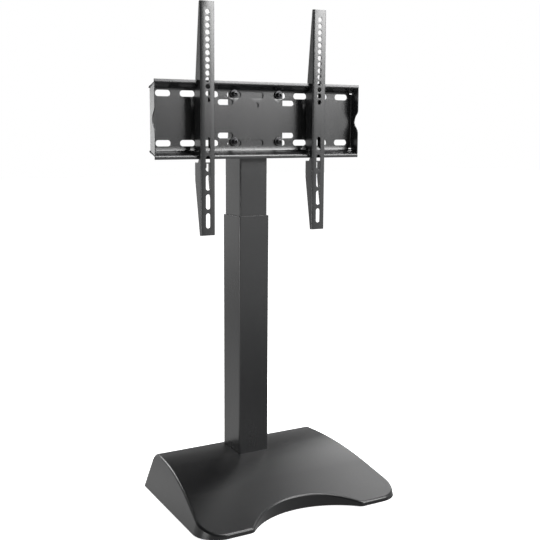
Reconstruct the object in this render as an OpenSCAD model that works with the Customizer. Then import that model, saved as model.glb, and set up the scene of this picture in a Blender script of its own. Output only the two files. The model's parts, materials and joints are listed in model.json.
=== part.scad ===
// Height-adjustable TV stand: floor base, square telescopic lift column,
// folded mount plate and two hook-on TV arms.
// Origin: on the floor, in the middle of the base. X to the right, Y to the back, Z up.

/* [Base cover] */
// Depth of the base from its front edge to its back edge
base_depth = 330; // [310:1:380]
// Width of the cover's bottom edge along the back
base_back_w = 411; // [380:1:440]
// Width of the cover's bottom edge along the front, before its corners are rounded
base_front_w = 468; // [450:1:500]
// Height of the cover's flat top above the cover's bottom edge
cover_h = 76.3; // [72:0.1:90]
// Height of the cover's front edge
front_h = 8.5; // [8:0.1:12]
// Wall of the cover
cover_wall = 2.5; // [2:0.1:3]
// Lean of the side walls and the back wall from the vertical, in degrees
wall_lean = 14; // [8:1:16]
// Distance from the back edge of the base to where its top begins to fall
crown_start = 46; // [42:1:56]
// Steepness of the top's front slope, as a share of the line from the front edge to the crown
crown_steepness = 1.44; // [1.3:0.01:1.5]
// Radius of the rounding along the top's back edge
back_round_r = 23; // [12:1:24]
// Radius of the two front corners
toe_r = 48; // [42:1:60]
// Radius of the bay in the front edge
bay_r = 171; // [160:1:185]
// Depth of the bay
bay_depth = 54.7; // [45:0.1:58]
// Radius of the rounding at the ends of the bay
bay_round_r = 14; // [8:1:18]

/* [Base plate and feet] */
// Thickness of the steel base plate
base_plate_t = 10; // [8:1:12]
// Gap between the base plate's edge and the cover's inner face
base_plate_gap = 0.8; // [0.5:0.1:1.5]
// Height of the rubber feet
foot_h = 3; // [2.8:0.1:5]
// Radius of the rubber feet
foot_r = 16; // [10:1:18]
// Radius of the cover screws
cover_screw_r = 2; // [1.5:0.1:2.5]
// Radius of the cover's screw bosses
boss_r = 6; // [5:0.1:8]

/* [Column] */
// Distance from the back edge of the base to the column's axis
column_back = 76; // [70:1:84]
// Width of the square outer tube
outer_w = 70; // [69.6:0.1:72]
// Wall of the outer tube
outer_wall = 2; // [1.6:0.1:2.1]
// Width of the square inner tube
inner_w = 64; // [62:0.1:64.2]
// Wall of the inner tube
inner_wall = 2; // [1.5:0.1:2.5]
// Corner radius of the outer tube
tube_r = 3.2; // [2.5:0.1:4]
// Height of the outer tube's rim above the floor
rim_z = 577.8; // [560:0.1:579]
// Height of the inner tube's bottom end above the floor, at mid height
inner_bottom_z = 280; // [279:1:300]
// Running gap of the plastic glides
glide_gap = 0.3; // [0.2:0.05:0.4]
// Height of the glides
glide_h = 40; // [30:1:60]
// Width of the glide tabs in the rim
tab_w = 6; // [4:0.5:10]
// Depth of the notches for the glide tabs
tab_h = 2.2; // [1.5:0.1:4]

/* [Foot flange] */
// Width of the foot flange
flange_w = 130; // [120:1:140]
// Depth of the foot flange
flange_d = 110; // [100:1:116]
// Thickness of the foot flange
flange_t = 8; // [6:1:10]
// Radius of the flange bolts
flange_bolt_r = 4; // [3:0.5:5]

/* [Drive] */
// Radius of the tube motor
motor_r = 26; // [20:0.5:28]
// Length of the tube motor
motor_h = 75; // [60:1:76]
// Length of the gearbox
gearbox_h = 40; // [30:1:41]
// Radius of the lead screw
screw_r = 6; // [5:0.5:8]
// Height of the lead screw's top end above the floor
screw_top_z = 500; // [480:1:530]
// Radius of the gearbox's output shaft
shaft_r = 5; // [4:0.5:6]
// Gap between turning and fixed pieces
turn_gap = 0.3; // [0.2:0.05:0.5]
// Running fit of the nut on the screw
nut_fit = 0.05; // [0.02:0.01:0.1]

/* [Control box and inlet] */
// Width of the control box
box_w = 100; // [80:1:104]
// Depth of the control box
box_d = 66; // [50:1:70]
// Height of the control box
box_h = 36; // [25:1:40]
// Distance from the column's axis to the near side of the control box
box_x = 68; // [66:1:72]
// Width of the power inlet's body
inlet_w = 27; // [24:0.5:32]
// Height of the power inlet's body
inlet_h = 20; // [18:0.5:24]
// Rim of the power inlet round its body
inlet_rim = 2.5; // [1.5:0.1:4]
// Height of the power inlet's middle above the floor
inlet_z = 34; // [32:1:40]
// Distance of the power inlet from the column's axis
inlet_x = 95; // [60:1:105]

/* [Head] */
// Height of the slot rows' middle above the floor, at mid height
slot_z = 774; // [773:1:800]
// Drop from the slot rows' middle to the inner tube's top end
head_drop = 58; // [55:1:62]
// Thickness of the end plate on the inner tube
end_plate_t = 6; // [5:1:8]
// Distance from the plate screws to the side edges of the head bracket
bracket_edge = 10.8; // [9:0.1:14]
// Height of the head bracket
bracket_h = 124; // [116:1:130]
// Thickness of the head bracket's steel
bracket_t = 4; // [3:0.5:4]
// Distance from the middle of the bracket to its gussets
gusset_x = 28; // [26:1:30]
// Distance from the column's axis to the mount plate's front face
web_front = 42.4; // [42.4:0.1:46]
// Radius of the screws that hold the mount plate
plate_screw_r = 3; // [2.5:0.1:3]
// Radius of their heads
plate_head_r = 5; // [4.5:0.1:5.5]
// Height of their heads
plate_head_h = 6; // [5:0.1:6.5]
// Radius of their washers
washer_r = 8.5; // [7:0.1:9]
// Thickness of their washers
washer_t = 1.6; // [1:0.1:1.8]
// Height of the screws' middle above the slot rows' middle
screw_lift = 2.2; // [0:0.1:2.4]
// Height between the two rows of these screws
screw_rows = 93.8; // [93:0.1:94.8]

/* [Mount plate] */
// Width of the mount plate
plate_w = 471; // [460:1:500]
// Height of the mount plate over its lips
plate_h = 150.4; // [149:0.1:152]
// Depth of the mount plate
plate_d = 24.3; // [24:0.1:26]
// Thickness of the mount plate's sheet
sheet = 2; // [1.5:0.1:2.2]
// Height of the flat web between its bends
web_h = 120; // [116:1:121]
// Height between the lips' inner edges
lip_gap = 136.4; // [134:0.1:138]
// Height of the slot rows' middle above the plate's middle
row_lift = 2.6; // [0:0.1:2.8]
// Height between the two slot rows
row_gap = 94.8; // [94:0.1:96]
// Pitch of the slots
slot_pitch = 51.7; // [50:0.1:52]
// Slots in each row
slots_n = 9; // [7:2:9]
// Length of the slots
slot_l = 32; // [28:0.5:38]
// Height of the slots
slot_h = 12; // [12:0.1:13]
// Length of the four small slots
small_slot_l = 34; // [30:0.5:38]
// Height of the four small slots
small_slot_h = 11; // [8:0.1:12]
// Distance of the small slots from the plate's middle
small_slot_x = 71.3; // [68:0.1:76]
// Height between the small slots
small_slot_gap = 65.2; // [62:0.1:68]
// Radius of the centre hole
centre_hole_r = 5; // [3:0.1:6]
// Height of the centre hole above the slot rows' middle
centre_hole_z = 28; // [25:1:32]
// Depth of the notch in the plate's ends
notch_d = 12; // [6:0.5:14]
// Height of the notch at its mouth
notch_mouth = 38.5; // [30:0.5:46]
// Height of the notch at its bottom
notch_floor = 13.4; // [8:0.1:20]
// Radius of the relief holes in the plate's corners
relief_r = 2.8; // [2:0.1:3]

/* [Arms] */
// Distance of each arm from the middle
arm_x = 128.4; // [115:0.1:150]
// Width of each arm
arm_w = 31; // [29:0.1:33]
// Height of an arm above the slot rows' middle
arm_up = 219.5; // [215:0.5:230]
// Length of an arm below the slot rows' middle
arm_down = 226; // [222:0.5:240]
// Depth of an arm at its middle
arm_d = 25.5; // [24.5:0.1:26]
// Depth of an arm at its ends
arm_end_d = 6.5; // [5:0.1:9]
// Distance from the mount plate's lips forward to an arm's front face
arm_front = 10.3; // [9.6:0.1:11]
// Thickness of the arms' sheet
arm_sheet = 2; // [1.5:0.1:2.5]
// Height of the topmost hole above the slot rows' middle
hole_top = 200; // [195:0.5:205]
// Pitch of the round holes
hole_pitch = 12.7; // [12:0.1:12.8]
// Round holes in each arm
holes_n = 14; // [8:1:14]
// Radius of the round holes
hole_r = 4.8; // [3:0.1:5]
// Depth of the topmost slot's middle below the slot rows' middle
arm_slot_top = 49.6; // [45:0.1:52]
// Pitch of the arm slots
arm_slot_pitch = 36.9; // [35:0.1:37.5]
// Slots in each arm
arm_slots_n = 5; // [3:1:5]
// Length of the arm slots
arm_slot_l = 29.5; // [26:0.5:31]
// Width of the arm slots
arm_slot_w = 9.6; // [8:0.1:10]
// Gap between an arm's hooks and the plate's lips
hook_gap = 0.5; // [0.3:0.1:0.8]
// Radius of the lock screws
lock_r = 2.5; // [2:0.1:3]
// Radius of the lock screws' heads
lock_head_r = 6; // [5:0.5:6.5]
// Height of the lock screws' heads
lock_head_h = 9; // [6:0.5:12]

/* [Hidden] */
$fn = 48;

// One overrun serves all cuts
over = 1;
// How far a rounding's circle passes its walls, so that they cross
crossing = over / 50;
// Clearance of screws in their holes
hole_fit = 0.05;

// Base
front_y = -base_depth / 2;
back_y = base_depth / 2;
top_z = foot_h + cover_h;
mid_half_w = (base_back_w + base_front_w) / 4;
taper = atan((base_front_w - base_back_w) / 2 / base_depth);
crown_slope = crown_steepness * atan((cover_h - front_h) / (base_depth - crown_start));
slope_top_y = front_y + (cover_h - front_h) / tan(crown_slope);
crown_r = (back_y - crown_start - slope_top_y) / tan(crown_slope / 2);
crown_c = [back_y - crown_start, top_z - crown_r];
crown_a = 90 + crown_slope;
back_c = meet([0, top_z - back_round_r], 0, [back_y - back_round_r / cos(wall_lean), foot_h], 90 + wall_lean);
bay_c = [0, front_y + bay_depth - bay_r];
bay_round_y = front_y + bay_round_r;
bay_round_x = sqrt(pow(bay_r + bay_round_r, 2) - pow(bay_round_y - bay_c[1], 2));
toe_lean = atan(tan(wall_lean) / cos(taper));
toe_turn = asin(cos(wall_lean) * sin(taper));
plate_top_z = foot_h + base_plate_t;
back_half_w = base_back_w / 2;
front_half_w = base_front_w / 2;

// Places of the feet and of the cover screws, as shares of the base's half width and half depth
foot_shares = [[0.84, 0.80], [0.84, 0.05], [0.72, -0.74]];
boss_shares = [[0.68, 0.84], [0.88, -0.30], [0.86, -0.68]];

// Column
column_y = back_y - column_back;
outer_bore = outer_w - 2 * outer_wall;
inner_bore = inner_w - 2 * inner_wall;
inner_r = tube_r - (outer_w - inner_w) / outer_w;
flange_z = plate_top_z + flange_t;
inner_top_z = slot_z - head_drop;
collar_bore = inner_w + 2 * glide_gap;
sleeve_w = outer_bore - 2 * glide_gap;
flange_bolt_x = (outer_w + flange_w) / 4;
flange_bolt_y = flange_d / 2 - 3 * flange_bolt_r;
head_share = 1.6;

// Drive
seat_t = 5;
seat_rise = 3;
motor_z = flange_z + seat_rise + seat_t;
gearbox_z = motor_z + motor_h;
bearing_z = gearbox_z + gearbox_h;
bearing_t = 6;
bearing_r = 14;
coupling_z = bearing_z + bearing_t + turn_gap;
coupling_h = 12;
coupling_r = 11;
shaft_deep = 14;
carrier_t = 8;
nut_r = 14;
nut_flange_r = 20;
nut_flange_t = 6;
nut_h = 30;
gearbox_r = motor_r - over;
cable_r = 3;
cable_z = motor_z + 3 * cable_r;

// Ears and place of the control box
box_ear = 10;
ear_t = 3;
box_y = column_y + outer_w / 2 - box_d;

// Head and mount plate, in heights above the floor and depths from the column's axis
web_y = column_y - web_front;
bracket_y = web_y + sheet;
plate_z = slot_z - row_lift;
bracket_w = 2 * (slot_pitch + bracket_edge);
lip_y = web_y - plate_d;
foot_z = inner_top_z + end_plate_t;
foot_top_z = foot_z + bracket_t;
foot_back_y = column_y + inner_w / 2;
screw_z = slot_z + screw_lift;
screw_row_half = screw_rows / 2;
nut_af = 10;
nut_t = 5;
lip_top = plate_h / 2 - row_lift;
lip_bottom = -plate_h / 2 - row_lift;
gusset_share = 0.75;
weld_share = 0.5;
corner_share = 0.3;
gusset_top_z = foot_top_z + bracket_h * gusset_share;

// Arms, in heights from the slot rows' middle and depths from their front face
arm_y = lip_y - arm_front;
lip_front_d = arm_front - hook_gap;
lip_back_d = arm_front + sheet + hook_gap;
hook_d = 22;
hook_tip = 70.5;
hook_rise = 6.5;
pocket_top_in = 54;
pocket_top_out = 61.5;
pocket_bottom_in = -55;
pocket_bottom_out = -62.5;
lip_clear = lip_bottom - hook_gap;
tab_chamfer = 6;
tab_z = lip_clear - tab_chamfer;
low_full = 118;
lock_d = 19.5;
lock_tip = 2.2;
lock_z = tab_z - arm_sheet;

// A unit vector at an angle
function dir(a) = [cos(a), sin(a)];

// Where the line through p at angle a meets the line through q at angle b
function meet(p, a, q, b) = p + dir(a) * cross(q - p, dir(b)) / cross(dir(a), dir(b));

// The normal on the right of a direction, and the mitre between two such normals
function right_of(v) = [v[1], -v[0]] / norm(v);
function mitre(m, n) = (m + n) / (1 + m * n);

// An open chain of points moved sideways by a thickness
function offset_chain(pts, t) = [
    for (i = [0 : len(pts) - 1])
        let (
            before = right_of(pts[max(i, 1)] - pts[max(i, 1) - 1]),
            after = right_of(pts[min(i, len(pts) - 2) + 1] - pts[min(i, len(pts) - 2)])
        )
        pts[i] + t * mitre(before, after)
];

function backwards(pts) = [for (i = [len(pts) - 1 : -1 : 0]) pts[i]];

// What a rounding of radius r about c takes off the corner between the normals a and b
module corner_off(c, r, a, b) {
    difference() {
        translate(c) polygon([[0, 0], 2 * r * dir(a), 4 * r * dir((a + b) / 2), 2 * r * dir(b)]);
        translate(c) rotate((a + b) / 2 + 180) circle(r + crossing, $fn = 360);
    }
}

// A square with round corners
module round_square(w, r) {
    square([w, w - 2 * r], center = true);
    square([w - 2 * r, w], center = true);
    for (x = [-1, 1], y = [-1, 1])
        translate([x, y] * (w / 2 - r)) circle(r);
}

// A square tube that stands on z
module square_tube(w, r, bore, bore_r, z, h) {
    translate([0, column_y, z]) linear_extrude(h) difference() {
        round_square(w, r);
        round_square(bore, bore_r);
    }
}

// A slot of length l and height h, lying along x
module slot_2d(l, h) {
    square([l - h, h], center = true);
    for (x = [-1, 1]) translate([x * (l - h) / 2, 0]) circle(h / 2);
}

// Turns a drawing in x and height to face the front, and makes it t thick from y to the back
module upright(y, t) {
    translate([0, y + t, 0]) rotate([90, 0, 0]) linear_extrude(t) children();
}

// Turns a drawing in depth and height into a solid that runs from x by w to the right
module sideways(x, w) {
    translate([x, 0, 0]) rotate([90, 0, 90]) linear_extrude(w) children();
}

// Side view of the cover, moved in by t, down to height z
module cover_side(t, z) {
    back = [back_y - t / cos(wall_lean), foot_h];
    slope = crown_c + (crown_r - t) * dir(crown_a);
    difference() {
        polygon([
            [front_y + t, z],
            meet([front_y + t, z], 90, slope, crown_a - 90),
            meet(slope, crown_a - 90, [0, top_z - t], 0),
            meet(back, 90 + wall_lean, [0, top_z - t], 0),
            meet(back, 90 + wall_lean, [0, z], 0)
        ]);
        corner_off(crown_c, crown_r - t, 90, crown_a);
        corner_off(back_c, back_round_r - t, wall_lean, 90);
    }
}

// The leaning, tapering side wall, moved in by t: takes off what is outside it
module side_off(t) {
    translate([mid_half_w, 0, foot_h]) rotate([0, 0, taper]) rotate([0, -wall_lean, 0])
        translate([-t, -base_depth, -base_depth]) cube(2 * base_depth);
}

// The rounded front corner between the upright front wall and the leaning side wall
module toe_off(t) {
    c = [-toe_r * (1 + sin(toe_turn)) / cos(toe_turn), toe_r];
    translate([front_half_w, front_y, foot_h]) rotate([0, -toe_lean, 0])
        translate([0, 0, -toe_r]) linear_extrude(3 * toe_r) corner_off(c, toe_r - t, -90, toe_turn);
}

// The bay in the front edge with its rounded ends
module bay_off(t) {
    translate([0, 0, -over]) linear_extrude(top_z) {
        translate(bay_c) circle(bay_r + t, $fn = 360);
        if (t == 0) for (m = [0, 1]) mirror([m, 0]) {
            c = [bay_round_x, bay_round_y];
            to_bay = bay_c - c;
            corner_off(c, bay_round_r, -90, atan2(to_bay[1], to_bay[0]));
        }
    }
}

// The cover's form, moved in by t and down to height z
module cover_form(t, z) {
    difference() {
        sideways(-base_front_w, 2 * base_front_w) cover_side(t, z);
        for (m = [0, 1]) mirror([m, 0, 0]) {
            side_off(t);
            toe_off(t);
        }
        bay_off(t);
    }
}

// Places shared left and right
module at_shares(shares) {
    for (s = shares, m = [-1, 1])
        translate([m * s[0] * back_half_w, s[1] * back_y, 0]) children();
}

// Puts what is drawn facing +Y on the leaning back wall
module on_back_wall(x, z) {
    translate([x, back_y - (z - foot_h) * tan(wall_lean), z]) rotate([wall_lean, 0, 0]) children();
}

module base_cover() {
    color("#2c2d2f") {
        difference() {
            cover_form(0, foot_h);
            cover_form(cover_wall, 0);
            translate([0, column_y, 0]) linear_extrude(top_z + over)
                round_square(outer_w + 2 * glide_gap, tube_r + glide_gap);
            on_back_wall(-inlet_x, inlet_z)
                translate([-inlet_w / 2 - glide_gap, -4 * cover_wall, -inlet_h / 2 - glide_gap])
                    cube([inlet_w + 2 * glide_gap, 5 * cover_wall, inlet_h + 2 * glide_gap]);
        }
        difference() {
            intersection() {
                cover_form(cover_wall / 2, foot_h);
                at_shares(boss_shares) translate([0, 0, plate_top_z]) cylinder(h = top_z, r = boss_r);
            }
            at_shares(boss_shares) cylinder(h = plate_top_z + 2 * boss_r, r = cover_screw_r + hole_fit);
        }
    }
}

module base_plate() {
    color("#3a3c3f") difference() {
        intersection() {
            cover_form(cover_wall + base_plate_gap, foot_h);
            translate([-base_front_w, -base_depth, foot_h])
                cube([2 * base_front_w, 2 * base_depth, base_plate_t]);
        }
        at_shares(boss_shares) cylinder(h = top_z, r = cover_screw_r + hole_fit);
        at_flange_bolts() cylinder(h = top_z, r = flange_bolt_r + hole_fit);
        at_box_screws() cylinder(h = top_z, r = cover_screw_r + hole_fit);
    }
}

module rubber_feet() {
    color("#1c1c1d") at_shares(foot_shares) cylinder(h = foot_h, r = foot_r);
}

// A pan head screw from below, its head against the base plate
module screw_from_below(r, deep) {
    translate([0, 0, foot_h - r]) cylinder(h = r, r = 2 * r);
    translate([0, 0, foot_h - over / 2]) cylinder(h = deep + over / 2, r = r);
}

module cover_screws() {
    color("#8c8f92") at_shares(boss_shares) screw_from_below(cover_screw_r, base_plate_t + boss_r);
}

module at_flange_bolts() {
    for (x = [-1, 1], y = [-1, 1])
        translate([x * flange_bolt_x, column_y + y * flange_bolt_y, 0]) children();
}

module column_flange() {
    color("#2c2d2f") difference() {
        translate([-flange_w / 2, column_y - flange_d / 2, plate_top_z]) cube([flange_w, flange_d, flange_t]);
        at_flange_bolts() cylinder(h = top_z, r = flange_bolt_r + hole_fit);
    }
}

module flange_bolts() {
    color("#8c8f92") at_flange_bolts() {
        translate([0, 0, foot_h + over]) cylinder(h = flange_z - foot_h, r = flange_bolt_r);
        translate([0, 0, flange_z]) cylinder(h = flange_bolt_r * head_share, r = 2 * flange_bolt_r, $fn = 6);
    }
}

// The notches of the glide tabs, over the middle of each face
module tab_bars(w, h, reach) {
    for (a = [0, 90]) translate([0, column_y, rim_z - h]) rotate([0, 0, a])
        translate([-w / 2, -reach, 0]) cube([w, 2 * reach, 2 * h]);
}

module outer_tube() {
    color("#303133") difference() {
        square_tube(outer_w, tube_r, outer_bore, tube_r - outer_wall, flange_z, rim_z - flange_z);
        tab_bars(tab_w, tab_h, outer_w);
        translate([-outer_w, column_y, cable_z]) rotate([0, 90, 0]) cylinder(h = outer_w, r = 2 * cable_r);
    }
}

module glide_collar() {
    color("#161617") {
        square_tube(outer_bore, tube_r - outer_wall, collar_bore, tube_r - outer_wall, rim_z - glide_h, glide_h);
        intersection() {
            tab_bars(tab_w - 2 * hole_fit, tab_h - hole_fit, outer_w);
            square_tube(outer_w - glide_gap, tube_r, collar_bore, over, rim_z - tab_h, tab_h);
        }
    }
}

module motor_bracket() {
    color("#8c8f92") translate([0, column_y, flange_z]) {
        translate([0, 0, seat_rise]) linear_extrude(seat_t) round_square(outer_bore, tube_r - outer_wall);
        cylinder(h = seat_rise, r = motor_r);
    }
}

module drive_motor() {
    color("#55585b") translate([0, column_y, motor_z]) {
        cylinder(h = motor_h, r = motor_r);
    }
}

module gearbox() {
    color("#7a7d80") translate([0, column_y, gearbox_z]) difference() {
        union() {
            cylinder(h = gearbox_h, r = gearbox_r);
            linear_extrude(gearbox_h / 4) circle(motor_r);
        }
        translate([0, 0, gearbox_h - shaft_deep]) cylinder(h = gearbox_h, r = shaft_r + turn_gap);
    }
}

module thrust_bearing() {
    color("#b4b7ba") translate([0, column_y, bearing_z]) difference() {
        cylinder(h = bearing_t, r = bearing_r);
        translate([0, 0, -over]) cylinder(h = bearing_t + 2 * over, r = shaft_r + turn_gap);
    }
}

// The gearbox's output shaft, up into the coupling
module output_shaft() {
    color("#c4c7ca") translate([0, column_y, bearing_z - shaft_deep + turn_gap])
        cylinder(h = coupling_z + coupling_h / 2 - bearing_z + shaft_deep - turn_gap, r = shaft_r);
}

module shaft_coupling() {
    color("#9da0a3") translate([0, column_y, coupling_z]) difference() {
        cylinder(h = coupling_h, r = coupling_r);
        translate([0, 0, -over]) cylinder(h = coupling_h / 2 + over, r = shaft_r);
        translate([0, 0, coupling_h / 2]) cylinder(h = coupling_h, r = screw_r);
    }
}

module lead_screw() {
    screw_bottom_z = coupling_z + coupling_h / 2;
    color("#c4c7ca") translate([0, column_y, screw_bottom_z])
        cylinder(h = screw_top_z - screw_bottom_z, r = screw_r);
}

// Control box with two screw ears

module at_box_screws() {
    for (x = [box_ear / 2, box_w + 1.5 * box_ear])
        translate([-box_x - x, box_y + box_d / 2, 0]) children();
}

module control_box() {
    color("#1c1c1d") difference() {
        translate([-box_x - box_w - box_ear, box_y, plate_top_z]) {
            cube([box_w, box_d, box_h]);
            translate([-box_ear, box_d / 2 - box_ear, 0]) cube([box_w + 2 * box_ear, 2 * box_ear, ear_t]);
        }
        at_box_screws() cylinder(h = top_z, r = cover_screw_r + hole_fit);
    }
}

module control_box_screws() {
    color("#8c8f92") at_box_screws() {
        translate([0, 0, foot_h + over]) cylinder(h = base_plate_t + ear_t, r = cover_screw_r);
        translate([0, 0, plate_top_z + ear_t]) cylinder(h = cover_screw_r, r = 2 * cover_screw_r);
    }
}

module power_inlet() {
    inlet_d = 16;
    socket_wall = 2;
    color("#161617") on_back_wall(-inlet_x, inlet_z) {
        difference() {
            union() {
                translate([-inlet_w / 2, -inlet_d, -inlet_h / 2]) cube([inlet_w, inlet_d, inlet_h]);
                translate([-inlet_w / 2 - inlet_rim, 0, -inlet_h / 2 - inlet_rim])
                    cube([inlet_w + 2 * inlet_rim, socket_wall, inlet_h + 2 * inlet_rim]);
            }
            translate([socket_wall - inlet_w / 2, socket_wall - inlet_d, socket_wall - inlet_h / 2])
                cube([inlet_w - 2 * socket_wall, inlet_d + over, inlet_h - 2 * socket_wall]);
        }
    }
}

// Inner lead from the control box through the tube to the motor
module motor_cable() {
    box_side_x = -box_x - box_ear;
    color("#161617") translate([box_side_x, column_y, cable_z]) rotate([0, 90, 0])
        cylinder(h = -motor_r - box_side_x, r = cable_r);
}

module inner_tube() {
    color("#303133")
        square_tube(inner_w, inner_r, inner_bore, inner_r - inner_wall / 2, inner_bottom_z,
            inner_top_z - inner_bottom_z);
}

module lower_glides() {
    color("#161617")
        square_tube(sleeve_w, inner_r, inner_w, inner_r, inner_bottom_z, glide_h);
}

module nut_carrier() {
    color("#8c8f92") translate([0, column_y, inner_bottom_z]) difference() {
        linear_extrude(carrier_t) round_square(inner_bore, inner_r - inner_wall / 2);
        translate([0, 0, -over]) cylinder(h = carrier_t + 2 * over, r = nut_r + hole_fit);
    }
}

module drive_nut() {
    color("#b08d4c") translate([0, column_y, inner_bottom_z]) difference() {
        union() {
            cylinder(h = nut_h, r = nut_r);
            translate([0, 0, carrier_t]) cylinder(h = nut_flange_t, r = nut_flange_r);
        }
        translate([0, 0, -over]) cylinder(h = nut_h + 2 * over, r = screw_r + nut_fit);
    }
}

// Places of the screws in the bracket's foot
module at_head_screws() {
    for (x = [-1, 1], y = [-1, 1])
        translate([x * gusset_x * 2 / 3, column_y + y * gusset_x * 2 / 3, 0]) children();
}

module tube_end_plate() {
    color("#303133") difference() {
        translate([0, column_y, inner_top_z]) linear_extrude(end_plate_t) round_square(inner_w, inner_r);
        at_head_screws() cylinder(h = slot_z, r = flange_bolt_r + hole_fit);
    }
}

// Places of the screws that hold the mount plate, seen from the front
module at_plate_screws() {
    for (x = [-1, 1], z = [-1, 1])
        translate([x * slot_pitch, screw_z + z * screw_row_half]) children();
}

module head_bracket() {
    back = bracket_y + bracket_t;
    root = bracket_t * weld_share;
    color("#2c2d2f") {
        upright(bracket_y, bracket_t) difference() {
            translate([-bracket_w / 2, slot_z - bracket_h / 2]) square([bracket_w, bracket_h]);
            at_plate_screws() circle(plate_screw_r + hole_fit);
        }
        difference() {
            translate([-inner_w / 2, back - root, foot_z])
                cube([inner_w, foot_back_y - back + root, bracket_t]);
            at_head_screws() cylinder(h = slot_z, r = flange_bolt_r + hole_fit);
        }
        for (x = [-gusset_x - bracket_t / 2, gusset_x - bracket_t / 2]) sideways(x, bracket_t)
            polygon([
                [back - root, foot_top_z - root], [foot_back_y - root, foot_top_z - root],
                [foot_back_y, foot_top_z], [back, gusset_top_z], [back - root, gusset_top_z]
            ]);
    }
}

module head_screws() {
    color("#8c8f92") at_head_screws() {
        translate([0, 0, inner_top_z]) cylinder(h = end_plate_t + bracket_t, r = flange_bolt_r);
        translate([0, 0, foot_top_z]) cylinder(h = flange_bolt_r, r = flange_bolt_r * head_share);
    }
}

// Section of the mount plate: web, sloping flanges and lips
module plate_section() {
    front = [
        [-plate_d, -plate_h / 2], [-plate_d, -lip_gap / 2], [0, -web_h / 2],
        [0, web_h / 2], [-plate_d, lip_gap / 2], [-plate_d, plate_h / 2]
    ];
    polygon(concat(front, backwards(offset_chain(front, sheet))));
}

// End flange of the mount plate with its notch
module plate_end() {
    gap = sheet * corner_share;
    polygon([
        [sheet, -web_h / 2 + gap], [-plate_d, -lip_gap / 2 + gap],
        [-plate_d, -notch_mouth / 2], [notch_d - plate_d, -notch_floor / 2],
        [notch_d - plate_d, notch_floor / 2], [-plate_d, notch_mouth / 2],
        [-plate_d, lip_gap / 2 - gap], [sheet, web_h / 2 - gap]
    ]);
}

module mount_plate() {
    color("#2c2d2f") difference() {
        translate([0, web_y, plate_z]) {
            sideways(-plate_w / 2, plate_w) plate_section();
            for (x = [-plate_w / 2, plate_w / 2 - sheet]) sideways(x, sheet) plate_end();
        }
        upright(web_y - over, sheet + 2 * over) {
            for (i = [0 : slots_n - 1], z = [-1, 1])
                translate([(i - (slots_n - 1) / 2) * slot_pitch, slot_z + z * row_gap / 2])
                    slot_2d(slot_l, slot_h);
            for (x = [-1, 1], z = [-1, 1])
                translate([x * small_slot_x, slot_z + z * small_slot_gap / 2])
                    slot_2d(small_slot_l, small_slot_h);
            translate([0, slot_z + centre_hole_z]) circle(centre_hole_r);
            for (x = [-1, 1], z = [-1, 1])
                translate([x * (plate_w / 2 - sheet - relief_r), plate_z + z * (web_h / 2 - relief_r / 2)])
                    circle(relief_r);
        }
    }
}

module plate_screws() {
    socket_r = 2.8;
    socket_h = 3;
    tail = 2;
    head_y = web_y - washer_t - plate_head_h;
    color("#161617") {
        upright(web_y - washer_t, washer_t + sheet + bracket_t + nut_t + tail) at_plate_screws()
            circle(plate_screw_r);
        upright(head_y, socket_h) at_plate_screws() difference() {
            circle(plate_head_r);
            circle(socket_r, $fn = 6);
        }
        upright(head_y + socket_h, plate_head_h - socket_h) at_plate_screws() circle(plate_head_r);
    }
}

module plate_washers() {
    color("#9da0a3") upright(web_y - washer_t, washer_t) at_plate_screws() difference() {
        circle(washer_r);
        circle(plate_screw_r + hole_fit);
    }
}

module plate_nuts() {
    color("#8c8f92") upright(bracket_y + bracket_t, nut_t) at_plate_screws() difference() {
        circle(nut_af / 2 / cos(30), $fn = 6);
        circle(plate_screw_r + hole_fit);
    }
}

// Side view of an arm in depth and height: deep behind the plate, thin at its ends,
// with a hook over the top lip and a notch for the bottom lip
module arm_side() {
    polygon([
        [0, arm_up], [arm_end_d, arm_up], [hook_d, hook_tip + hook_rise], [hook_d, hook_tip],
        [lip_back_d, hook_tip], [lip_back_d, lip_top + hook_gap], [lip_front_d, lip_top + hook_gap],
        [lip_front_d, pocket_top_out], [arm_d, pocket_top_in], [arm_d, pocket_bottom_in],
        [lip_front_d, pocket_bottom_out], [lip_front_d, lip_clear], [lip_back_d, tab_z],
        [arm_d, tab_z], [arm_d, -low_full], [arm_end_d, -arm_down], [0, -arm_down]
    ]);
}

// An arm, a folded channel whose middle stands at x
module arm(x) {
    translate([x, arm_y, slot_z]) difference() {
        union() {
            difference() {
                sideways(-arm_w / 2, arm_w) arm_side();
                translate([-arm_w / 2 + arm_sheet, arm_sheet, -arm_down - over])
                    cube([arm_w - 2 * arm_sheet, arm_d, arm_up + arm_down + 2 * over]);
            }
            translate([-arm_w / 2 + arm_sheet / 2, arm_sheet / 2, lock_z])
                cube([arm_w - arm_sheet, arm_d - arm_sheet / 2, arm_sheet]);
        }
        upright(-over, arm_sheet + 2 * over) {
            for (i = [0 : holes_n - 1]) translate([0, hole_top - i * hole_pitch]) circle(hole_r);
            for (i = [0 : arm_slots_n - 1]) translate([0, -arm_slot_top - i * arm_slot_pitch])
                rotate(90) slot_2d(arm_slot_l, arm_slot_w);
        }
        translate([0, lock_d, lock_z - over]) cylinder(h = arm_sheet + 2 * over, r = lock_r + hole_fit);
    }
}

// A lock screw up through an arm's tab, behind the plate's bottom lip
module lock_screw(x) {
    tip_z = lip_bottom + lock_tip;
    color("#8c8f92") translate([x, arm_y + lock_d, slot_z]) {
        translate([0, 0, lock_z - lock_head_h]) cylinder(h = lock_head_h, r = lock_head_r);
        translate([0, 0, lock_z - over]) cylinder(h = tip_z - lock_z + over, r = lock_r);
    }
}

module arm_left() {
    color("#303133") arm(-arm_x);
}

module arm_right() {
    color("#303133") arm(arm_x);
}

module lock_screw_left() {
    lock_screw(-arm_x);
}

module lock_screw_right() {
    lock_screw(arm_x);
}

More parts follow.
